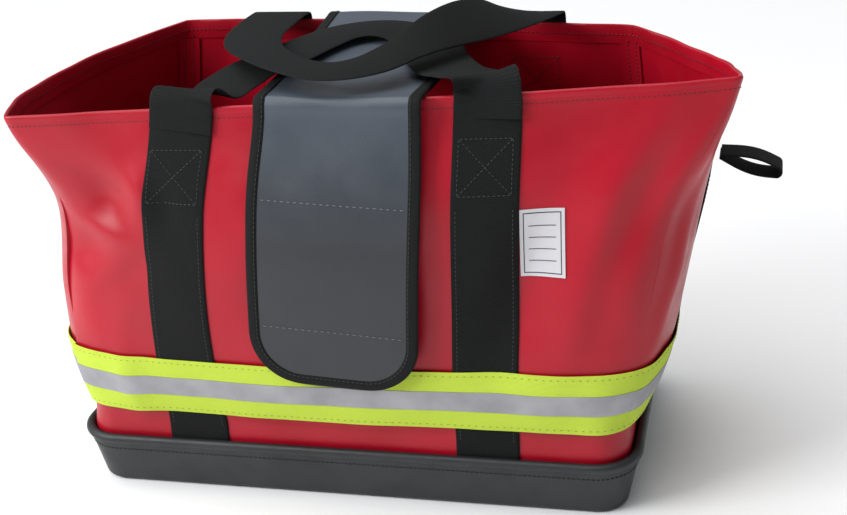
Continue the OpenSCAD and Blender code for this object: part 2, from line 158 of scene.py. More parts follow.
def side_bow(k, u, t):
    k = np.mod(k, 4).astype(int)
    front = (lerp(along(BOW_FRONT_LEFT, t), along(BOW_FRONT_RIGHT, t), ease(u))
             * (1 - np.abs(2 * u - 1) ** 2.5))
    arch = 4 * u * (1 - u)
    amount = pick([front, along(BOW_RIGHT_END, t) * arch, along(BOW_BACK, t) * arch,
                   along(BOW_LEFT_END, t) * arch], k)
    return amount[..., None] * BOW_WAYS[k]


def sharp_outline(s, t):
    q = np.mod(s, 4)
    k = np.floor(q)
    u = q - k
    return lerp(corner(k, t), corner(k + 1, t), u[..., None]) + side_bow(k, u, t)


def side_len(k, t):
    return np.linalg.norm(corner(k + 1, t) - corner(k, t), axis=-1)


def outline(s, t):
    """Plan outline with each corner rounded by a quadratic curve."""
    k = np.round(s)
    d = s - k
    reach = along(CORNER_ROUND, t)
    before, after = reach / side_len(k - 1, t), reach / side_len(k, t)
    m = np.where(d < 0, before, after)
    w = np.clip(0.5 + 0.5 * d / m, 0, 1)[..., None]
    curve = ((1 - w) ** 2 * sharp_outline(k - before, t) + 2 * w * (1 - w) * sharp_outline(k, t)
             + w**2 * sharp_outline(k + after, t))
    return np.where((np.abs(d) >= m)[..., None], sharp_outline(s, t), curve)


def outward(s, t):
    d = outline(s + 0.004, t) - outline(s - 0.004, t)
    return unit(np.stack([d[..., 1], -d[..., 0]], -1))


def rim_z(s):
    q = np.mod(s, 4)
    k = np.floor(q).astype(int)
    u = q - k
    return (lerp(RIM_CORNER_Z[k], RIM_CORNER_Z[(k + 1) % 4], u)
            - (k % 2) * RIM_END_DIP * 4 * u * (1 - u))


def t_at(s, z):
    return (z - WALL_Z0) / (rim_z(s) - WALL_Z0)


def tray_push(p, t, z):
    """How far the wall's foot moves out, to fill the tray up to its lip."""
    reach = np.abs(p) - (np.array([TRAY_L, TRAY_W]) / 2 - TRAY_R)
    inside = TRAY_R + TRAY_FLARE * np.minimum(z, TRAY_H) / TRAY_H - TRAY_WALL
    gap = inside - np.linalg.norm(np.maximum(reach, 0), axis=-1)
    return np.clip(gap - 3.2, 0, 22) * ease((t - 0.02) / 0.07) * ease((0.24 - t) / 0.12)


def relief(s, t):
    """Soft dents and folds of the walls, in millimetres outward."""
    q = np.mod(s, 4)
    low = ease((t - 0.08) / 0.12)

    def dent(out, q0, q_width, t0, t_width):
        return out * hump(q, q0, q_width) * hump(t, t0, t_width)

    # Dents and ridges under the left corner of the mouth, and a kink below them
    r = dent(-6.5, 0.10, 0.035, 0.79, 0.06)
    r += dent(3.6, 0.165, 0.022, 0.80 + 0.9 * (q - 0.16), 0.06)
    r += dent(-3.5, 0.20, 0.02, 0.76, 0.05)
    r += dent(-4.0, 0.05, 0.04, 0.64, 0.045)
    r += dent(2.6, 0.09, 0.05, 0.70 - 0.6 * (q - 0.09), 0.028)
    r += dent(-2.5, 0.13, 0.05, 0.55 + 0.8 * (q - 0.1), 0.05)
    # The corner of the left end stands out as a ridge at the trim band
    r += dent(4.0, 0.115, 0.03, 0.30, 0.14)
    # A long shallow fold on the right of the front, and the pull towards the right corner
    r += dent(-7.5, 0.79 + 0.07 * (t - 0.6), 0.05, 0.60, 0.27)
    r += dent(4.2, 0.885 + 0.05 * (t - 0.6), 0.03, 0.62, 0.24)
    r += dent(-3.2, 0.955 - 0.1 * (1 - t), 0.03, 0.74, 0.14)
    # Where the right end is drawn in below the mouth, and the folds that run down from there
    r += dent(-9.0, 1.06, 0.13, 0.70, 0.12)
    r += dent(3.0, 1.20 - 0.2 * (1 - t), 0.035, 0.60, 0.2)
    r += dent(-3.0, 1.33, 0.06, 0.78, 0.14)
    r += dent(2.5, 1.65, 0.1, 0.6, 0.2)
    # Dents in the left end and in the back
    r += dent(-5.0, 3.62, 0.12, 0.72, 0.12)
    r += dent(2.5, 3.3, 0.07, 0.6, 0.2)
    r += dent(-3.5, 2.35, 0.08, 0.6, 0.3)
    r += dent(-3.0, 2.80, 0.07, 0.75, 0.2)
    r += dent(2.0, 2.16, 0.04, 0.66, 0.2)
    r += dent(2.0, 2.9, 0.04, 0.55, 0.25)
    # Gentle unevenness everywhere
    turn = 2 * math.pi
    r += 0.9 * np.sin(turn * (2.1 * q + 1.3 * t)) + 0.5 * np.sin(turn * (4.6 * q - 2.2 * t) + 1.0)
    long_side = 0.25 + 0.75 * np.cos(math.pi * q) ** 2 * (np.floor(q) % 2 == 0)
    r += 0.30 * long_side * np.sin(turn * (9.7 * q + 3.1 * t) + 2.0)
    return r * low


def wall(s, t, off):
    """Points on the bag at (s, t), off millimetres outward from its surface."""
    s, t = np.broadcast_arrays(np.asarray(s, float), np.asarray(t, float))
    off = np.broadcast_to(np.asarray(off, float), s.shape)
    p, way = outline(s, t), outward(s, t)
    z = lerp(WALL_Z0, rim_z(s), t)
    p = p + way * (off + relief(s, t) + tray_push(p, t, z))[..., None]
    return np.concatenate([p, z[..., None]], -1)


def wall_at(s, z, off):
    return wall(s, t_at(np.asarray(s, float), z), off)


def wall_normal(s, z):
    """Outward normal of the wall at (s, z)."""
    step_s, step_z = 0.003, 1.5
    across = wall_at(np.asarray(s) + step_s, z, 0.0) - wall_at(np.asarray(s) - step_s, z, 0.0)
    up = wall_at(s, np.asarray(z) + step_z, 0.0) - wall_at(s, np.asarray(z) - step_z, 0.0)
    return unit(np.cross(across, up))


def front_s(x, t):
    a, b = along(CORNERS[0], t)[..., 0], along(CORNERS[1], t)[..., 0]
    return (x - a) / (b - a)


def back_s(x, t):
    a, b = along(CORNERS[2], t)[..., 0], along(CORNERS[3], t)[..., 0]
    return 2 + (x - a) / (b - a)


# ---- Mesh makers ----


def add_object(name, vertices, faces, material, uvs=None, sharp_deg=40):
    """A smooth-shaded object; vertices in millimetres, uvs one pair for each vertex."""
    mesh = bpy.data.meshes.new(name)
    mesh.from_pydata((np.asarray(vertices, float) * MM).tolist(), [], faces)
    mesh.validate()
    if uvs is not None:
        layer = mesh.uv_layers.new(name="uv")
        index = np.zeros(len(mesh.loops), int)
        mesh.loops.foreach_get("vertex_index", index)
        layer.data.foreach_set("uv", (np.asarray(uvs, float) * MM)[index].ravel())
    mesh.polygons.foreach_set("use_smooth", [True] * len(mesh.polygons))
    mesh.set_sharp_from_angle(angle=math.radians(sharp_deg))
    mesh.materials.append(material)
    return put_in_scene(name, mesh)


def grid_faces(rows, columns, start, closed_rows=False, closed_columns=False, flip=False):
    faces = []
    for j in range(rows if closed_rows else rows - 1):
        for i in range(columns if closed_columns else columns - 1):
            a = start + j * columns + i
            b = start + j * columns + (i + 1) % columns
            c = start + ((j + 1) % rows) * columns + (i + 1) % columns
            d = start + ((j + 1) % rows) * columns + i
            faces.append((d, c, b, a) if flip else (a, b, c, d))
    return faces


def shell(name, outer, inner, uvs, material, closed=False):
    """A sheet with thickness between two grids of points [row, column, 3]."""
    rows, columns = outer.shape[:2]
    n = rows * columns
    faces = grid_faces(rows, columns, 0, closed_columns=closed)
    faces += grid_faces(rows, columns, n, closed_columns=closed, flip=True)
    loops = []
    if closed:
        loops.append(list(range(columns)))
        loops.append([(rows - 1) * columns + i for i in range(columns)][::-1])
    else:
        loops.append(list(range(columns))
                     + [j * columns + columns - 1 for j in range(1, rows)]
                     + [(rows - 1) * columns + i for i in range(columns - 2, -1, -1)]
                     + [j * columns for j in range(rows - 2, 0, -1)])
    for loop in loops:
        for a, b in zip(loop, loop[1:] + loop[:1]):
            faces.append((a, n + a, n + b, b))
    vertices = np.concatenate([outer.reshape(-1, 3), inner.reshape(-1, 3)])
    flat = uvs.reshape(-1, 2)
    return add_object(name, vertices, faces, material, np.concatenate([flat, flat]))


def lengths(points):
    """Running length along a line of points."""
    return np.concatenate([[0], np.cumsum(np.linalg.norm(np.diff(points, axis=0), axis=1))])


def grid_uvs(grid):
    """Real distances over a grid of points, for weaves and grain."""
    v = np.concatenate([[0], np.cumsum(np.linalg.norm(np.diff(grid, axis=0), axis=2).mean(1))])
    u = np.concatenate([[0], np.cumsum(np.linalg.norm(np.diff(grid, axis=1), axis=2).mean(0))])
    return np.stack(np.broadcast_arrays(u[None, :], v[:, None]), -1)


# Section of flat webbing: across from -1 to 1, with softly rounded selvedges
SECTION_ACROSS = [-1, -0.965, -0.9, -0.6, -0.3, 0, 0.3, 0.6, 0.9, 0.965, 1]
SECTION_THICK = [0.35, 0.85, 1, 1, 1, 1, 1, 1, 1, 0.85, 0.35]


def ribbon(name, centre, across, width, thickness, material, cup=0.0):
    """Webbing along a line of points; cup bows it across its width, in millimetres."""
    tangent = unit(np.gradient(centre, axis=0))
    side = across - (across * tangent).sum(-1, keepdims=True) * tangent
    side = unit(side)
    face = unit(np.cross(side, tangent))
    u = np.array(SECTION_ACROSS)
    half = np.array(SECTION_THICK) * thickness / 2
    cup = np.broadcast_to(np.asarray(cup, float), (len(centre),))
    rise = cup[:, None] * (1 - u[None, :] ** 2)
    half_width = np.broadcast_to(np.ravel(width) / 2, (len(centre),))[:, None]
    base = centre[:, None] + side[:, None] * (u * half_width)[..., None]
    top = base + face[:, None] * (rise + half[None, :])[..., None]
    low = base + face[:, None] * (rise - half[None, :])[..., None]
    ring = np.concatenate([top, low[:, ::-1]], 1)
    rows, columns = ring.shape[:2]
    faces = grid_faces(rows, columns, 0, closed_columns=True, flip=True)
    faces.append(tuple(range(columns)))
    faces.append(tuple((rows - 1) * columns + i for i in range(columns))[::-1])
    v = lengths(centre)
    across_mm = np.concatenate([u, u[::-1]]) * half_width
    uvs = np.stack(np.broadcast_arrays(across_mm, v[:, None]), -1).reshape(-1, 2)
    return add_object(name, ring.reshape(-1, 3), faces, material, uvs, 60)


def smooth_path(points, count):
    """count points evenly spaced along a smooth line through the given ones."""
    fine = along(points, np.linspace(0, 1, 40 * len(points)))
    d = lengths(fine)
    at = np.linspace(0, d[-1], count)
    return np.stack([np.interp(at, d, fine[:, i]) for i in range(fine.shape[1])], -1)


# One stitch: a small lozenge of thread, as (along, side, up) from -1 to 1
STITCH_RING = [(math.cos(a), math.sin(a)) for a in np.radians([30, 90, 150, 270])]
STITCH = np.array([(-1, 0, -0.6)] + [(x, p[0], p[1]) for x in (-0.6, 0.6) for p in STITCH_RING]
                  + [(1, 0, -0.6)])


def stitch_faces():
    n = len(STITCH_RING)
    faces = [(0, 1 + (i + 1) % n, 1 + i) for i in range(n)]
    faces += [(1 + i, 1 + (i + 1) % n, 1 + n + (i + 1) % n, 1 + n + i) for i in range(n)]
    faces += [(1 + 2 * n, 1 + n + i, 1 + n + (i + 1) % n) for i in range(n)]
    return faces


class Stitching:
    """Rows of stitches that make one piece."""

    def __init__(self, name, material, pitch, length, thread):
        self.name, self.material = name, material
        self.pitch, self.length, self.thread = pitch, length, thread
        self.vertices, self.faces, self.count = [], [], 0

    def row(self, points, normals):
        """Stitches along a dense line of points on a surface with these normals."""
        points, normals = np.asarray(points, float), unit(normals)
        d = lengths(points)
        number = max(1, int(d[-1] / self.pitch))
        at = (np.arange(number) + 0.5) * d[-1] / number

        def sample(values, places):
            return np.stack([np.interp(places, d, values[:, i]) for i in range(3)], -1)

        middle = sample(points, at)
        way = unit(sample(points, at + 0.5) - sample(points, at - 0.5))
        up = unit(sample(normals, at))
        side = unit(np.cross(up, way))
        scale = np.array([self.length / 2, self.thread / 2, self.thread / 2])
        local = STITCH * scale
        made = (middle[:, None] + local[None, :, :1] * way[:, None]
                + local[None, :, 1:2] * side[:, None] + local[None, :, 2:] * up[:, None])
        for k in range(number):
            base = (self.count + k) * len(STITCH)
            self.faces += [tuple(base + i for i in face) for face in stitch_faces()]
        self.vertices.append(made.reshape(-1, 3))
        self.count += number

    def build(self):
        return add_object(self.name, np.concatenate(self.vertices), self.faces, self.material)


# ---- Materials ----


class Nodes:
    """A material being made: short calls for adding and linking its nodes."""

    def __init__(self, name):
        self.material = bpy.data.materials.new(name)
        self.material.use_nodes = True
        self.tree = self.material.node_tree
        self.shader = self.tree.nodes["Principled BSDF"]

    def add(self, kind, inputs=None, **settings):
        node = self.tree.nodes.new(kind)
        for key, value in settings.items():
            setattr(node, key, value)
        for key, value in (inputs or {}).items():
            self.feed(node.inputs[key], value)
        return node

    def feed(self, socket, value):
        if isinstance(value, bpy.types.NodeSocket):
            self.tree.links.new(value, socket)
        else:
            socket.default_value = value

    def set(self, **values):
        for key, value in values.items():
            self.feed(self.shader.inputs[key.replace("_", " ")], value)

    def noise(self, where, scale, detail=3.0, roughness=0.5):
        return self.add("ShaderNodeTexNoise", {"Vector": where, "Scale": scale, "Detail": detail,
                                               "Roughness": roughness}).outputs["Fac"]

    def spread(self, value, low, high, from_low=0.35, from_high=0.65):
        """Maps a noise value to a range."""
        return self.add("ShaderNodeMapRange", {"Value": value, "From Min": from_low,
                                               "From Max": from_high, "To Min": low,
                                               "To Max": high}).outputs["Result"]

    def tint(self, factor, dark, light):
        node = self.add("ShaderNodeMix", {"Factor": factor}, data_type="RGBA")
        node.inputs[6].default_value = (*dark, 1)
        node.inputs[7].default_value = (*light, 1)
        return node.outputs[2]

    def bump(self, height, depth_mm, strength=1.0, after=None):
        inputs = {"Height": height, "Distance": depth_mm * MM, "Strength": strength}
        if after is not None:
            inputs["Normal"] = after
        return self.add("ShaderNodeBump", inputs).outputs["Normal"]

    def coordinates(self, kind):
        return self.add("ShaderNodeTexCoord").outputs[kind]

    def weave(self, where, across_mm, along_mm):
        """Height of a plain weave with yarns of this size, from bricks in staggered rows."""
        node = self.add("ShaderNodeTexBrick", {"Vector": where, "Scale": 1.0,
                                               "Mortar Size": across_mm * MM * 0.16,
                                               "Mortar Smooth": 1.0,
                                               "Brick Width": across_mm * MM,
                                               "Row Height": along_mm * MM,
                                               "Color1": (1, 1, 1, 1),
                                               "Color2": (0.75, 0.75, 0.75, 1),
                                               "Mortar": (0, 0, 0, 1)})
        return node.outputs["Color"]


def vinyl_material(name, dark, light, roughness, gloss=0.5, grain_mm=0.05, painted_sheen_span=None):
    """Coated vinyl; the last argument, when given, is the span of distances along the piece over which
    its colour turns from dark to light, a painted sheen; without it the two colours mix at random.
    """
    m = Nodes(name)
    where = m.coordinates("UV")
    # Along the piece the light colour is a painted sheen; otherwise the colours mix in a random mottle
    if painted_sheen_span:
        along_piece = m.add("ShaderNodeSeparateXYZ", {"Vector": where}).outputs["Y"]
        mottle_and_painted_sheen = m.spread(along_piece, 0, 1, *painted_sheen_span)
    else:
        mottle_and_painted_sheen = m.spread(m.noise(where, 9.0, 3.0), 0, 1)
    fine = m.noise(where, 900.0, 2.0)
    weave = m.weave(where, 1.5, 1.5)
    m.set(Base_Color=m.tint(mottle_and_painted_sheen, dark, light),
          Roughness=m.spread(m.noise(where, 35.0, 4.0), roughness - 0.05, roughness + 0.07),
          Specular_IOR_Level=gloss,
          Normal=m.bump(m.noise(where, 26.0, 2.0), 0.9, 0.5,
                        m.bump(fine, grain_mm, 0.7, m.bump(weave, 0.03, 0.6))))
    return m.material


def webbing_material(name, dark, light, across_mm=2.2, along_mm=1.5):
    m = Nodes(name)
    where = m.coordinates("UV")
    weave = m.weave(where, across_mm, along_mm)
    fibre = m.noise(where, 1500.0, 2.0)
    m.set(Base_Color=m.tint(weave, dark, light), Roughness=0.75, Specular_IOR_Level=0.18,
          Normal=m.bump(fibre, 0.06, 0.6, m.bump(weave, 0.35, 0.9)))
    return m.material


def thread_material(name, colour):
    m = Nodes(name)
    fibre = m.noise(m.coordinates("Object"), 2600.0, 1.0)
    m.set(Base_Color=m.tint(fibre, [0.75 * c for c in colour], colour), Roughness=0.6,
          Normal=m.bump(fibre, 0.08, 0.5))
    return m.material


def rubber_material():
    m = Nodes("rubber_look")
    where = m.coordinates("Object")
    dust = m.noise(where, 14.0, 5.0, 0.6)
    pebble = m.add("ShaderNodeTexVoronoi", {"Vector": where, "Scale": 650.0}).outputs["Distance"]
    m.set(Base_Color=m.tint(m.spread(dust, 0, 1), (0.008, 0.0095, 0.011), (0.016, 0.018, 0.021)),
          Roughness=m.spread(m.noise(where, 40.0), 0.42, 0.58),
          Normal=m.bump(m.noise(where, 30.0, 2.0), 0.6, 0.5, m.bump(pebble, 0.08, 0.6)))
    return m.material


def silver_material():
    m = Nodes("reflector_look")
    where = m.coordinates("UV")
    beads = m.add("ShaderNodeTexVoronoi", {"Vector": where, "Scale": 2600.0}).outputs["Distance"]
    cloth = m.weave(where, 1.0, 1.0)
    m.set(Base_Color=m.tint(m.spread(m.noise(where, 30.0), 0, 1), (0.27, 0.27, 0.29),
                            (0.36, 0.36, 0.38)),
          Metallic=0.45, Roughness=0.5,
          Normal=m.bump(beads, 0.04, 0.5, m.bump(cloth, 0.05, 0.5)))
    return m.material


RED = vinyl_material("vinyl_look", (0.34, 0.0022, 0.0125), (0.41, 0.0032, 0.017), 0.36, 0.36)
# The flap's light colour is a painted sheen, reached from 110 to 230 mm up from its front end, towards
# the fold over the mouth
SLATE = vinyl_material("flap_look", (0.018, 0.021, 0.025), (0.055, 0.069, 0.090), 0.40, 0.5, 0.22,
                       (0.11, 0.23))
WEBBING = webbing_material("webbing_look", (0.003, 0.0033, 0.0035), (0.009, 0.0095, 0.010))
BINDING = webbing_material("binding_look", (0.005, 0.0052, 0.0055), (0.012, 0.0125, 0.013), 1.1, 0.9)
PILE = webbing_material("pile_look", (0.006, 0.006, 0.007), (0.016, 0.016, 0.018), 0.8, 0.8)
LIME = webbing_material("lime_look", (0.52, 0.68, 0.055), (0.62, 0.80, 0.085), 1.0, 1.0)
LABEL = webbing_material("label_look", (0.72, 0.71, 0.75), (0.84, 0.83, 0.87), 0.6, 0.6)
SILVER = silver_material()
RUBBER = rubber_material()
THREAD_MAROON = thread_material("thread_maroon", (0.10, 0.006, 0.012))
THREAD_BLACK = thread_material("thread_black", (0.012, 0.012, 0.013))
THREAD_CHARCOAL = thread_material("thread_charcoal", (0.030, 0.030, 0.032))
THREAD_GREY = thread_material("thread_grey", (0.14, 0.145, 0.155))
THREAD_OLIVE = thread_material("thread_olive", (0.30, 0.42, 0.04))

# ---- Walls ----

HALF_PI = math.pi / 2


def side_columns(k, n):
    """Places along side k, closer together near its corners."""
    i = np.arange(n) / n
    return k + 0.5 - 0.5 * np.cos(math.pi * i)


def wall_sheet(name, s, t, node):
    s_grid, t_grid = np.meshgrid(s, t)
    outer, inner = wall(s_grid, t_grid, 0.0), wall(s_grid, t_grid, -VINYL)
    piece = shell(name, outer, inner, grid_uvs(outer), RED)
    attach(piece, "root")
    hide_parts(node)
    return piece


heights = np.linspace(0, 0.998, 110)
wrap_columns = np.concatenate([side_columns(-1, 56), side_columns(0, 110), side_columns(1, 56), [2]])
wrap_sheet = wall_sheet("wrap_sheet", wrap_columns, heights, "body_wrap")
back_sheet = wall_sheet("back_sheet", np.append(side_columns(2, 90), 3.0)[1:-1], heights,
                        "back_panel")

# Hem: the rim is turned to the inside over a soft edge
round_columns = np.concatenate([side_columns(k, n) for k, n in ((0, 110), (1, 56), (2, 90), (3, 56))])
HEM_SECTION = [(0.12, -5), (0.25, -2), (0.1, -0.6), (-0.7, 0.35), (-1.7, 0.5), (-2.8, 0.1),
               (-3.1, -1.2), (-3.1, -8), (-2.9, -16), (-2.2, -16), (-2.2, -3), (-1.5, -2)]


def hem():
    rows = [wall_at(round_columns, rim_z(round_columns) + dz, off) for off, dz in HEM_SECTION]
    ring = np.stack(rows)
    count, columns = ring.shape[:2]
    faces = grid_faces(count, columns, 0, closed_rows=True, closed_columns=True, flip=True)
    uvs = grid_uvs(ring).reshape(-1, 2)
    piece = add_object("rim_hem_roll", ring.reshape(-1, 3), faces, RED, uvs, 60)
    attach(piece, "root")
    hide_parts("rim_hem")
    return piece


rim_hem_roll = hem()

rim_stitches = Stitching("rim_stitches", THREAD_MAROON, 3.6, 2.6, 0.7)
around = np.linspace(0, 4, 900)
for offset, way in ((0.1, 1), (-3.7, -1)):
    z = rim_z(around) - 8
    rim_stitches.row(wall_at(around, z, offset), wall_normal(around, z) * way)

# Felled seams down the inside of the back corners, with two rows of stitches each
seam_stitches = Stitching("seam_stitches", THREAD_MAROON, 3.6, 2.6, 0.8)


def seam(k, name):
    s, z01 = np.meshgrid(k + np.linspace(-0.03, 0.03, 9), np.linspace(0.06, 0.95, 60))
    z = lerp(WALL_Z0, rim_z(s), z01)
    outer, inner = wall_at(s, z, -VINYL - 0.4), wall_at(s, z, -VINYL - 1.7)
    piece = shell(f"{name}_strip", outer, inner, grid_uvs(outer), RED)
    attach(piece, "root")
    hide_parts(name)
    for shift in (-0.014, 0.012):
        line_s = np.full(80, k + shift)
        line_z = np.linspace(30, rim_z(np.array(k + shift)) - 12, 80)
        seam_stitches.row(wall_at(line_s, line_z, -VINYL - 1.8), -wall_normal(line_s, line_z))
        seam_stitches.row(wall_at(line_s, line_z, 0.1), wall_normal(line_s, line_z))
    return piece


seam_right = seam(2, "seam_right")
seam_left = seam(3, "seam_left")

# ---- Floor of the bag: a vinyl panel over the stiffener board ----


def floor_pad():
    half_x, half_y, radius = 208, 102, 14
    rings = []
    for inset, z in ((0, 5.3), (0, 9.5), (1.2, 10.6), (6, 10.9), (20, 11.1), (60, 11.4), (98, 11.5)):
        x, y = half_x - inset, half_y - inset
        r = max(radius - inset, 2)
        ring = []
        for cx, cy, start in ((x - r, y - r, 0), (r - x, y - r, 90), (r - x, r - y, 180),
                              (x - r, r - y, 270)):
            for a in np.radians(start + np.linspace(0, 90, 9)):
                ring.append((cx + r * math.cos(a), cy + r * math.sin(a), z))
        rings.append(ring)
    ring = np.array(rings)
    rows, columns = ring.shape[:2]
    faces = grid_faces(rows, columns, 0, closed_columns=True)
    faces.append(tuple((rows - 1) * columns + i for i in range(columns)))
    faces.append(tuple(range(columns))[::-1])
    piece = add_object("floor_pad", ring.reshape(-1, 3), faces, RED,
                       ring.reshape(-1, 3)[:, :2], 60)
    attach(piece, "root")
    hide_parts("floor_panel", "stiffener_board")
    edge = ring[3]
    seam_stitches.row(np.concatenate([edge, edge[:1]]) + (0, 0, 0.2),
                      np.tile((0.0, 0.0, 1.0), (len(edge) + 1, 1)))


floor_pad()

# ---- Webbing straps ----

FRONT_STRAP_X = {"left": [-122, -123, -122, -118, -107], "right": [116, 117, 120, 122, 124]}
BACK_STRAP_X = {"left": [-107, -107, -105, -101, -93], "right": [119, 121, 123, 126, 129]}
# The straps stop this far below the rim, where the handles take over
STRAP_END = 4.0
# Depth of the stitched box's top under the rim, its height, and its distance from the
# webbing's edges
BOX_TOP, BOX_H, BOX_INSET = 30, 40, 5
# Stitches along the webbing's edges: distance from the edge, start, and end under the rim
SELVEDGE_INSET, SELVEDGE_LOW, SELVEDGE_TOP = 4, 60, 80

strap_stitches = Stitching("strap_stitches", THREAD_CHARCOAL, 3.4, 2.5, 0.7)


def strap_place(face, side):
    """How s follows from a distance across the strap and the height t."""
    stations = (FRONT_STRAP_X if face == "front" else BACK_STRAP_X)[side]
    if face == "front":
        return lambda u, t: front_s(along(stations, t) + u, t)
    return lambda u, t: back_s(along(stations, t) - u, t)


def webbing_on_wall(name, place, z0, z1, width, material, off, thickness):
    """Webbing that lies on the wall; place(u, t) gives s."""
    z = np.linspace(0, 1, 130)
    u = np.array(SECTION_ACROSS)
    thick = np.array(SECTION_THICK) * thickness
    top, low = [], []
    for v in z:
        t = t_at(place(np.zeros(1), np.full(1, 0.5)), lerp(z0, z1, v))
        t = t_at(place(np.zeros(1), t), lerp(z0, z1, v))
        t = np.broadcast_to(t, u.shape)
        s = place(u * width / 2, t)
        top.append(wall(s, t, off + thick))
        low.append(wall(s, t, off))
    top, low = np.array(top), np.array(low)
    return shell(name, top, low, grid_uvs(top), material)


def box_cross(stitching, point, normal, half_w, top, height):
    """A stitched box with a cross in it; point(u, z) is on the surface."""
    corners = [(-half_w, top), (half_w, top), (half_w, top - height), (-half_w, top - height)]
    lines = [(corners[i], corners[(i + 1) % 4]) for i in range(4)]
    lines += [(corners[0], corners[2]), (corners[1], corners[3])]
    for (u0, z0), (u1, z1) in lines:
        w = np.linspace(0, 1, 40)
        u, z = lerp(u0, u1, w), lerp(z0, z1, w)
        stitching.row(point(u, z), normal(u, z))


def main_strap(face, side):
    place = strap_place(face, side)
    mid = 0.5 if face == "front" else 2.5
    rim = float(rim_z(place(np.zeros(1), np.ones(1)))[0])
    node = f"{face}_strap_{side}"
    piece = webbing_on_wall(f"{node}_web", place, WALL_Z0 + 10, rim - STRAP_END, WEB_W, WEBBING,
                            STRAP_OFF, WEB_T)
    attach(piece, "root")
    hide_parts(node)

    def surface(u, z, off):
        t = t_at(np.full_like(u, mid), z)
        return wall_at(place(u, t), z, off)

    def normal(u, z):
        return wall_normal(place(u, t_at(np.full_like(u, mid), z)), z)

    box_cross(strap_stitches, lambda u, z: surface(u, z, STRAP_OFF + WEB_T + 0.1), normal,
              WEB_W / 2 - BOX_INSET, rim - BOX_TOP, BOX_H)
    box_cross(seam_stitches, lambda u, z: surface(u, z, -VINYL - 0.1),
              lambda u, z: -normal(u, z), WEB_W / 2 - BOX_INSET, rim - BOX_TOP, BOX_H)
    # Rows down both selvedges
    for edge in (SELVEDGE_INSET - WEB_W / 2, WEB_W / 2 - SELVEDGE_INSET):
        z = np.linspace(SELVEDGE_LOW, rim - SELVEDGE_TOP, 120)
        u = np.full_like(z, edge)
        strap_stitches.row(surface(u, z, STRAP_OFF + WEB_T + 0.05), normal(u, z))


for face in ("front", "back"):
    for side in ("left", "right"):
        main_strap(face, side)

END_WEB_W = 26
END_STRAP_LOW, END_STRAP_TOP = 24, 285
# Top and height of each stitched box on an end strap
END_BOXES = ((282, 13), (242, 24))
# Length of an end panel, from which s follows across the strap
END_PANEL = 200.0


def end_strap(side):
    mid = 1.5 if side == "right" else 3.5
    piece = webbing_on_wall(f"end_strap_{side}_web", lambda u, t: mid + u / END_PANEL,
                            END_STRAP_LOW, END_STRAP_TOP, END_WEB_W, WEBBING, STRAP_OFF, WEB_T)
    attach(piece, "root")
    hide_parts(f"end_strap_{side}")

    def point(u, z):
        return wall_at(mid + u / END_PANEL, z, STRAP_OFF + WEB_T + 0.1)

    def normal(u, z):
        return wall_normal(mid + u / END_PANEL, z)

    for top, height in END_BOXES:
        box_cross(strap_stitches, point, normal, END_WEB_W / 2 - 3, top, height)


end_strap("left")
end_strap("right")

# ---- Trim band ----

TRIM_Z, TRIM_H, REFLECTOR_H = 72, 51, 17
trim_stitches = Stitching("trim_stitches", THREAD_OLIVE, 5.5, 2.0, 0.8)


def trim(name, node, z0, z1, off, thickness, material):
    z = np.linspace(z0, z1, 13)
    s_grid, z_grid = np.meshgrid(round_columns, z)
    outer, inner = wall_at(s_grid, z_grid, off + thickness), wall_at(s_grid, z_grid, off)
    piece = shell(name, outer, inner, grid_uvs(outer), material, closed=True)
    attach(piece, "root")
    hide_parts(node)
    return piece


trim_band = trim("trim_band", "trim_tape", TRIM_Z, TRIM_Z + TRIM_H, TRIM_OFF, 0.6, LIME)
reflector_z = TRIM_Z + (TRIM_H - REFLECTOR_H) / 2
reflector_band = trim("reflector_band", "trim_reflector", reflector_z, reflector_z + REFLECTOR_H,
                      TRIM_OFF + 0.65, 0.35, SILVER)
for z in (TRIM_Z + 3.5, TRIM_Z + TRIM_H - 3.5):
    trim_stitches.row(wall_at(around, z, TRIM_OFF + 0.65), wall_normal(around, np.full_like(around, z)))

# ---- Label: a plain identification patch with blank lines ----

LABEL_X, LABEL_Z, LABEL_W, LABEL_H = 163.4, 224, 33, 52
# Place of the label round the bag
LABEL_S = 0.75


def label_patch(name, x0, x1, z0, z1, off, thickness, material):
    x, z = np.meshgrid(np.linspace(x0, x1, 12), np.linspace(z0, z1, 16))
    s = front_s(LABEL_X + x, t_at(np.full_like(z, LABEL_S), LABEL_Z + z))
    outer = wall_at(s, LABEL_Z + z, off + thickness)
    inner = wall_at(s, LABEL_Z + z, off)
    piece = shell(name, outer, inner, grid_uvs(outer), material)
    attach(piece, "root")
    return piece


def label():
    patch = label_patch("label_patch", -LABEL_W / 2, LABEL_W / 2, -LABEL_H / 2, LABEL_H / 2, 0.4, 0.6,
                        LABEL)
    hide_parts("label")
    x1, z1, thin = LABEL_W / 2 - 2.5, LABEL_H / 2 - 2.5, 0.7
    lines = [(-x1, x1, z1 - thin, z1), (-x1, x1, -z1, thin - z1), (-x1, thin - x1, -z1, z1),
             (x1 - thin, x1, -z1, z1)]
    lines += [(4 - x1, x1 - 4, z, z + 0.6) for z in (-14, -5, 4, 13)]
    drawn = [label_patch(f"label_line_{i}", *line, 1.0, 0.12, THREAD_CHARCOAL)
             for i, line in enumerate(lines)]


label()

# ---- Carrying handles ----

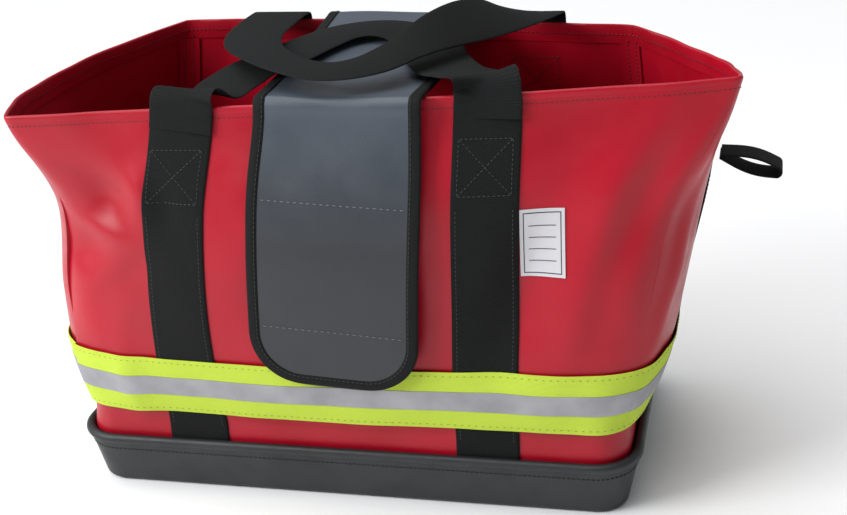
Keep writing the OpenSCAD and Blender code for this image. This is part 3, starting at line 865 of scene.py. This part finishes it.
# Centre lines as the handles lie, and the way across the webbing at each point
FRONT_HANDLE = [[-105.5, -108, 334], [-101, -98, 335.5], [-91, -84, 328.5], [-82, -68, 332],
                [-68, -47, 338.2], [-54, -24, 339.8], [-42, 12, 340.5], [-22, 41, 343],
                [6, 50, 344.5], [34, 41, 343], [57, 12, 340.5],
                [72, -24, 338.8], [88, -54, 338.8], [106, -77, 342.5], [119, -89, 344.5],
                [123, -94, 341]]
FRONT_ACROSS = [[1, 0, 0], [0.98, -0.1, 0], [0.92, -0.2, 0], [0.88, -0.28, 0], [0.86, -0.34, 0],
                [0.86, -0.38, 0], [0.8, -0.52, 0], [0.45, -0.84, 0], [0, -0.96, 0],
                [-0.45, -0.84, 0], [-0.8, -0.5, 0], [-0.86, -0.36, 0],
                [-0.84, -0.32, 0], [-0.9, -0.2, 0], [-0.98, -0.1, 0], [-1, 0, 0]]
BACK_HANDLE = [[-93, 101, 345.5], [-93, 88, 347], [-93, 54, 347], [-90, 18, 347.5],
               [-78, -20, 348.5], [-56, -53, 349.5], [-27, -80, 349], [5, -93, 348.5],
               [34, -82, 350.5], [55, -50, 354.5], [74, -16, 359], [93, 14, 360],
               [111, 44, 357.5], [121, 68, 352.5], [127, 88, 348], [128.8, 98.2, 344.6]]
BACK_ACROSS = [[-1, 0, 0], [-1, 0, 0], [-1, 0, 0], [-0.97, -0.24, 0],
               [-0.85, -0.5, 0.02], [-0.7, -0.7, 0.02], [-0.42, -0.9, 0], [0, -1, -0.1],
               [0.5, -0.84, -0.18], [0.82, -0.52, -0.3], [0.74, -0.44, -0.5], [0.76, -0.4, -0.5],
               [0.84, -0.38, -0.36], [0.93, -0.3, -0.18], [0.98, -0.12, -0.06], [1, 0, 0]]
# Share of the webbing's width that is left where it is gathered
FRONT_SPREAD = [1] * len(FRONT_HANDLE)
BACK_SPREAD = [1, 1, 1, 0.97, 0.9, 0.8, 0.74, 0.72, 0.68, 0.64, 0.8, 0.95, 1, 1, 1, 1]


def tail(face, side):
    """The handle's first points: up the outside of the wall, on the line of its strap."""
    place = strap_place(face, side)
    rim = float(rim_z(place(np.zeros(1), np.ones(1)))[0])
    z = np.array([rim - 16, rim - 8, rim - 2])
    t = t_at(place(np.zeros(3), np.ones(3)), z)
    return wall(place(np.zeros(3), t), t, STRAP_OFF + WEB_T + 0.2).tolist()


def handle(face, route, across, spread):
    first, last = tail(face, "left"), tail(face, "right")
    way_in, way_out = across[0], across[-1]
    points = np.array(first + route + last[::-1], float)
    ways = np.array([way_in] * 3 + across + [way_out] * 3, float)
    share = np.array([1] * 3 + spread + [1] * 3, float)[:, None]
    line = smooth_path(np.concatenate([points, ways, share], 1), 240)
    v = np.linspace(0, 1, len(line))
    piece = ribbon(f"{face}_handle_web", line[:, :3], line[:, 3:6], WEB_W * line[:, 6], WEB_T,
                   WEBBING, 1.2 * np.sin(math.pi * v) ** 2)
    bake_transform(piece)
    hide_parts(f"{face}_handle")


handle("front", FRONT_HANDLE, FRONT_ACROSS, FRONT_SPREAD)
handle("back", BACK_HANDLE, BACK_ACROSS, BACK_SPREAD)

# ---- End grab loops ----

LOOP_REACH = 48
# Half the gap between a loop's sides at its root, and the radius of its nose
ROOT_HALF, NOSE_R = 1.2, 4


def grab_loop(side, root, droop_deg, swell):
    """A loop that hangs droop_deg below level; swell is how far its sides part."""
    out = LOOP_REACH - NOSE_R
    u = np.linspace(0, 1, 30)
    half = lerp(ROOT_HALF, NOSE_R, ease(u)) + swell * np.sin(math.pi * u)
    nose = np.radians(np.linspace(75, -75, 14))
    x = np.concatenate([u * out, out + NOSE_R * np.cos(nose), u[::-1] * out])
    z = np.concatenate([half, NOSE_R * np.sin(nose), -half[::-1]])
    facing = 1 if side == "right" else -1
    droop = math.radians(droop_deg)
    centre = np.stack([root[0] + facing * (x * math.cos(droop) + z * math.sin(droop)),
                       np.full_like(x, root[1]),
                       root[2] - x * math.sin(droop) + z * math.cos(droop)], -1)
    across = np.tile((0.0, -1.0 * facing, 0.0), (len(centre), 1))
    piece = ribbon(f"end_loop_{side}_web", centre, across, END_WEB_W, WEB_T, WEBBING)
    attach(piece, f"end_loop_{side}")
    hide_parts(f"end_loop_{side}")


grab_loop("left", (-257.2, 0, 252), 72, 2.5)
grab_loop("right", (285.6, 6, 257), 16, 3.4)

# ---- Closure flap: one sheet from the outside of the back, over the mouth and down the front ----

FLAP_X, FLAP_W, FLAP_T, FLAP_R = 7, 134, 2.6, 42
FLAP_LEAN = math.radians(3.5)
FLAP_LEAN_Z = 200
FLAP_BOTTOM_Z = 110
FLAP_CLEAR = 4.4
RIM_CLEAR = 3.4
# Place of the flap's middle round the bag, and depth under the rim where the wall's front
# is still measured
FLAP_S = 0.46
RIM_MARGIN = 4


def flap_wall_y(z):
    """The furthest forward of the wall behind the flap at a height."""
    x = np.arange(-70, 71, 20)
    t = t_at(np.full(len(x), FLAP_S), np.full(len(x), float(z)))
    return wall_at(front_s(FLAP_X + x, t), float(z), 0.0)[:, 1].min()


front_rim = float(rim_z(np.array(FLAP_S)))
back_rim = float(rim_z(np.array(2.5)))
back_rim_y = float(wall(np.array(2.5), np.array(1.0), 0.0)[1])
fold_y = flap_wall_y(front_rim - RIM_MARGIN) - FLAP_CLEAR - FLAP_T / 2


def flap_line():
    """Points (y, z) of the flap's inner face from its front bottom to its back end."""
    hang = [(flap_wall_y(z) - FLAP_CLEAR + 0.6, z)
            for z in np.append(np.linspace(FLAP_BOTTOM_Z - 6, front_rim - 22, 14), front_rim - 8)]
    fold = [(fold_y + 1.6, front_rim - 1), (fold_y + 3.4, front_rim + RIM_CLEAR - 0.6),
            (fold_y + 9, front_rim + RIM_CLEAR)]
    bridge = [(lerp(fold_y, back_rim_y, u),
               lerp(front_rim, back_rim, u) + RIM_CLEAR - 16 * u * (1 - u))
              for u in np.linspace(0.12, 0.94, 8)]
    over = [(back_rim_y + 5.5 * math.cos(a), back_rim - 2.1 + 5.5 * math.sin(a))
            for a in np.radians([90, 50, 10])]
    down = [(back_rim_y + 6, back_rim - 25), (back_rim_y + 8, back_rim - 50)]
    return np.array(hang + fold + bridge + over + down)


FLAP_LINE = smooth_path(flap_line(), 700)
FLAP_RUN = lengths(FLAP_LINE)
FLAP_WAY = unit(np.gradient(FLAP_LINE, axis=0))
fold_run = float(FLAP_RUN[np.argmax(FLAP_LINE[:, 1] > front_rim)])
flap_start = float(np.interp(FLAP_BOTTOM_Z, FLAP_LINE[:150, 1], FLAP_RUN[:150]))
flap_length = FLAP_RUN[-1] - flap_start


def flap_half(a):
    """Half width of the flap at a distance from its front end."""
    half = FLAP_W / 2 - 3.5 * hump(a, fold_run - flap_start, 45)
    into = np.clip(FLAP_R - a, 0, FLAP_R)
    return half - FLAP_R + np.sqrt(np.maximum(FLAP_R**2 - into**2, 0))


def flap_point(x, a, up):
    """Point of the flap x across it, a up from its front end and up above its inner face."""
    x, a, up = np.broadcast_arrays(*(np.asarray(v, float) for v in (x, a, up)))
    share = np.clip(1 - a / (fold_run - flap_start), 0, 1)
    run = np.clip(flap_start + a - x * math.sin(FLAP_LEAN) * ease(share * 2.2), 0, FLAP_RUN[-1])
    y, z = (np.interp(run, FLAP_RUN, FLAP_LINE[:, i]) for i in (0, 1))
    way = unit(np.stack([np.interp(run, FLAP_RUN, FLAP_WAY[:, i]) for i in (0, 1)], -1))
    height = np.where(run > fold_run, front_rim, np.minimum(z, front_rim))
    lean_x = FLAP_X + (height - FLAP_LEAN_Z) * math.sin(FLAP_LEAN)
    wave = 0.5 * np.sin(x / 31 + a / 47) + 0.35 * np.sin(x / 17 - a / 29)
    rise = up + wave * ease(a / 60)
    return np.stack([lean_x + x * math.cos(FLAP_LEAN), y - way[..., 1] * rise,
                     z + way[..., 0] * rise], -1)


def flap_normal(x, a):
    d_x = flap_point(np.asarray(x) + 1, a, 0) - flap_point(np.asarray(x) - 1, a, 0)
    d_a = flap_point(x, np.asarray(a) + 1, 0) - flap_point(x, np.asarray(a) - 1, 0)
    return unit(np.cross(d_x, d_a))


def flap_blend(piece):
    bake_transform(piece)


def flap_sheet():
    rows = np.concatenate([FLAP_R * (1 - np.cos(np.linspace(0.03, 1, 16) * HALF_PI)),
                           np.linspace(FLAP_R, flap_length, 170)[1:]])
    u = np.linspace(-1, 1, 41)
    a = np.broadcast_to(rows[:, None], (len(rows), len(u)))
    x = u[None, :] * (flap_half(rows) - 1.0)[:, None]
    crown = 0.5 * (1 - u[None, :] ** 4) + 0 * a
    outer, inner = flap_point(x, a, FLAP_T + crown), flap_point(x, a, 0.2)
    uvs = np.stack([x, a], -1)
    piece = shell("flap_sheet", outer, inner, uvs, SLATE)
    flap_blend(piece)
    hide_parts("flap_bridge", "flap_front")
    return piece


# Binding: a folded tape round the flap's edge, as (distance in from the edge, height)
BINDING_SECTION = [(9, 2.7), (8.7, 3.1), (5, 3.2), (1.2, 3.1), (0.1, 2.3), (-0.3, 1.3), (0.1, 0.2),
                   (1.2, -0.6), (5, -0.6), (8.6, -0.4), (9, 0.1)]


def flap_outline():
    """Dense points (x, a) round the flap from its back left, round the front end, to its back right."""
    turn = np.linspace(0, HALF_PI, 40)
    down = np.linspace(flap_length, FLAP_R, 260)
    half = flap_half(down)
    end_half = flap_half(np.array(FLAP_R))
    x = np.concatenate([-half, -(end_half - FLAP_R + FLAP_R * np.cos(turn)),
                        np.linspace(-(end_half - FLAP_R), end_half - FLAP_R, 20)[1:-1],
                        end_half - FLAP_R + FLAP_R * np.sin(turn), half[::-1]])
    a = np.concatenate([down, FLAP_R - FLAP_R * np.sin(turn), np.zeros(18),
                        FLAP_R - FLAP_R * np.cos(turn), down[::-1]])
    line = np.stack([x, a], -1)
    keep = np.append(True, np.linalg.norm(np.diff(line, axis=0), axis=1) > 1e-4)
    return line[keep]


def flap_binding(outline_line):
    way = unit(np.gradient(outline_line, axis=0))
    inward = np.stack([-way[:, 1], way[:, 0]], -1)
    rows = []
    for inset, up in BINDING_SECTION:
        p = outline_line + inward * inset
        rows.append(flap_point(p[:, 0], p[:, 1], up + 0.25))
    ring = np.stack(rows, 1)
    count, columns = ring.shape[:2]
    faces = grid_faces(count, columns, 0, closed_columns=True)
    faces += [tuple(range(columns))[::-1], tuple((count - 1) * columns + i for i in range(columns))]
    v = lengths(ring[:, 5])
    u = np.array([i for i, _ in BINDING_SECTION], float)
    uvs = np.stack(np.broadcast_arrays(u[None, :], v[:, None]), -1).reshape(-1, 2)
    piece = add_object("flap_binding", ring.reshape(-1, 3), faces, BINDING, uvs, 60)
    flap_blend(piece)
    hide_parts("flap_bridge_binding", "flap_front_binding")
    return piece


flap = flap_sheet()
outline_line = flap_outline()
binding = flap_binding(outline_line)

# Stitching on the flap: rows over the hook tape, and one row along the binding
flap_stitches = Stitching("flap_stitches", THREAD_GREY, 5.0, 3.0, 0.85)
PATCH_LOW, PATCH_HIGH = 48, 148


def flap_row(x, a, height):
    x, a = np.broadcast_arrays(np.asarray(x, float), np.asarray(a, float))
    flap_stitches.row(flap_point(x, a, height), flap_normal(x, a))


row_x = np.linspace(-FLAP_W / 2 + 11, FLAP_W / 2 - 11, 60)
for a in (PATCH_LOW, PATCH_HIGH):
    flap_row(row_x, np.full(60, float(a)), FLAP_T + 0.65)
for a in (flap_length - 8, flap_length - 40):
    flap_row(row_x, np.full(60, float(a)), FLAP_T + 0.65)
stitches_on_flap = flap_stitches.build()
flap_blend(stitches_on_flap)

binding_stitches = Stitching("binding_stitches", THREAD_CHARCOAL, 3.6, 2.6, 0.6)
edge_way = unit(np.gradient(outline_line, axis=0))
edge_in = outline_line + np.stack([-edge_way[:, 1], edge_way[:, 0]], -1) * 7.2
binding_stitches.row(flap_point(edge_in[:, 0], edge_in[:, 1], 3.8),
                     flap_normal(edge_in[:, 0], edge_in[:, 1]))
stitches_on_binding = binding_stitches.build()
flap_blend(stitches_on_binding)

# Hook tape on the flap's inside and loop tape on the wall behind it
PAD_HALF, PAD_Z0, PAD_Z1, PAD_BEVEL = 48, 154, 252, 4
PAD_STITCH_INSET = 3


def hook_tape():
    x, a = np.meshgrid(np.linspace(-PAD_HALF, PAD_HALF, 24), np.linspace(PATCH_LOW, PATCH_HIGH, 24))
    inset = np.minimum(PAD_HALF - np.abs(x), np.minimum(a - PATCH_LOW, PATCH_HIGH - a))
    edge = np.minimum(1, inset / PAD_BEVEL)
    outer, inner = flap_point(x, a, 0.1), flap_point(x, a, -0.5 - 0.5 * edge)
    piece = shell("hook_tape", outer, inner, np.stack([x, a], -1), PILE)
    flap_blend(piece)
    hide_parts("hook_patch")


def loop_tape():
    x, z = np.meshgrid(np.linspace(-PAD_HALF, PAD_HALF, 30), np.linspace(PAD_Z0, PAD_Z1, 30))
    s = front_s(FLAP_X + x, t_at(np.full_like(z, FLAP_S), z))
    inset = np.minimum(PAD_HALF - np.abs(x), np.minimum(z - PAD_Z0, PAD_Z1 - z))
    edge = np.clip(inset / PAD_BEVEL, 0, 1)
    outer, inner = wall_at(s, z, 0.9 + 0.6 * edge), wall_at(s, z, 0.3)
    piece = shell("loop_tape", outer, inner, np.stack([x, z], -1), PILE)
    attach(piece, "root")
    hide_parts("loop_patch")

    def point(u, v):
        return wall_at(front_s(FLAP_X + u, t_at(np.full_like(v, FLAP_S), v)), v, 1.55)

    def normal(u, v):
        return wall_normal(front_s(FLAP_X + u, t_at(np.full_like(v, FLAP_S), v)), v)

    half, low, high = (PAD_HALF - PAD_STITCH_INSET, PAD_Z0 + PAD_STITCH_INSET,
                       PAD_Z1 - PAD_STITCH_INSET)
    corners = [(-half, low), (half, low), (half, high), (-half, high)]
    for (u0, v0), (u1, v1) in zip(corners, corners[1:] + corners[:1]):
        w = np.linspace(0, 1, 40)
        u, v = lerp(u0, u1, w), lerp(v0, v1, w)
        strap_stitches.row(point(u, v), normal(u, v))


hook_tape()
loop_tape()

# ---- Base tray: the CAD solid with its rubber, and a row of stitches below the lip ----

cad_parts["base_tray"].data.materials.clear()
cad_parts["base_tray"].data.materials.append(RUBBER)
tray_stitches = Stitching("tray_stitches", THREAD_BLACK, 3.8, 2.7, 0.8)


def tray_row(z):
    grow = TRAY_FLARE * z / TRAY_H
    radius = TRAY_R + grow + 0.15
    points, normals = [], []
    for cx, cy, start in ((1, 1, 0), (-1, 1, 90), (-1, -1, 180), (1, -1, 270)):
        for a in np.radians(start + np.linspace(0, 90, 16)):
            n = (math.cos(a), math.sin(a), 0)
            points.append((cx * (TRAY_L / 2 - TRAY_R) + radius * n[0],
                           cy * (TRAY_W / 2 - TRAY_R) + radius * n[1], z))
            normals.append(n)
    points.append(points[0])
    normals.append(normals[0])
    tray_stitches.row(points, normals)


tray_row(34)

for stitching, slot in ((rim_stitches, "vinyl"), (seam_stitches, "vinyl"), (strap_stitches, "webbing"),
                        (trim_stitches, "trim_lime"), (tray_stitches, "rubber")):
    piece = stitching.build()
    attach(piece, "root")

# ---- Floor and light ----


def floor():
    bpy.ops.mesh.primitive_plane_add(size=30, location=(0, 0, -0.0005))
    plane = bpy.context.object
    plane.name = "floor"
    m = Nodes("floor_look")
    grain = m.noise(m.coordinates("Object"), 1.5, 2.0)
    m.set(Base_Color=m.tint(grain, (0.86, 0.86, 0.87), (0.90, 0.90, 0.90)), Roughness=0.7)
    plane.data.materials.append(m.material)


def add_light(name, kind, energy):
    light = put_in_scene(name, bpy.data.lights.new(name, kind))
    light.data.energy = energy
    return light


def area_light(name, place, aim, size, energy):
    light = add_light(name, "AREA", energy)
    light.data.shape = "RECTANGLE"
    light.data.size, light.data.size_y = size
    light.location = place
    light.rotation_euler = (Vector(aim) - Vector(place)).to_track_quat("-Z", "Y").to_euler()


def sun_light(name, width_deg, tilt_deg, energy):
    """A wide, soft light from above, which keeps the whole floor pale."""
    light = add_light(name, "SUN", energy)
    light.data.angle = math.radians(width_deg)
    light.rotation_euler = [math.radians(v) for v in tilt_deg]


def surroundings(colour, strength):
    world = bpy.data.worlds.new("studio")
    bpy.context.scene.world = world
    world.use_nodes = True
    background = world.node_tree.nodes["Background"]
    background.inputs["Color"].default_value = (*colour, 1)
    background.inputs["Strength"].default_value = strength


floor()
area_light("key_light", (-1.7, -1.25, 1.35), (0, 0, 0.15), (1.1, 0.9), 46)
sun_light("top_light", 70, (2, -20, 0), 2.4)
surroundings((0.95, 0.97, 1.0), 0.32)
bpy.context.scene.view_settings.view_transform = "Standard"

bpy.context.view_layer.update()
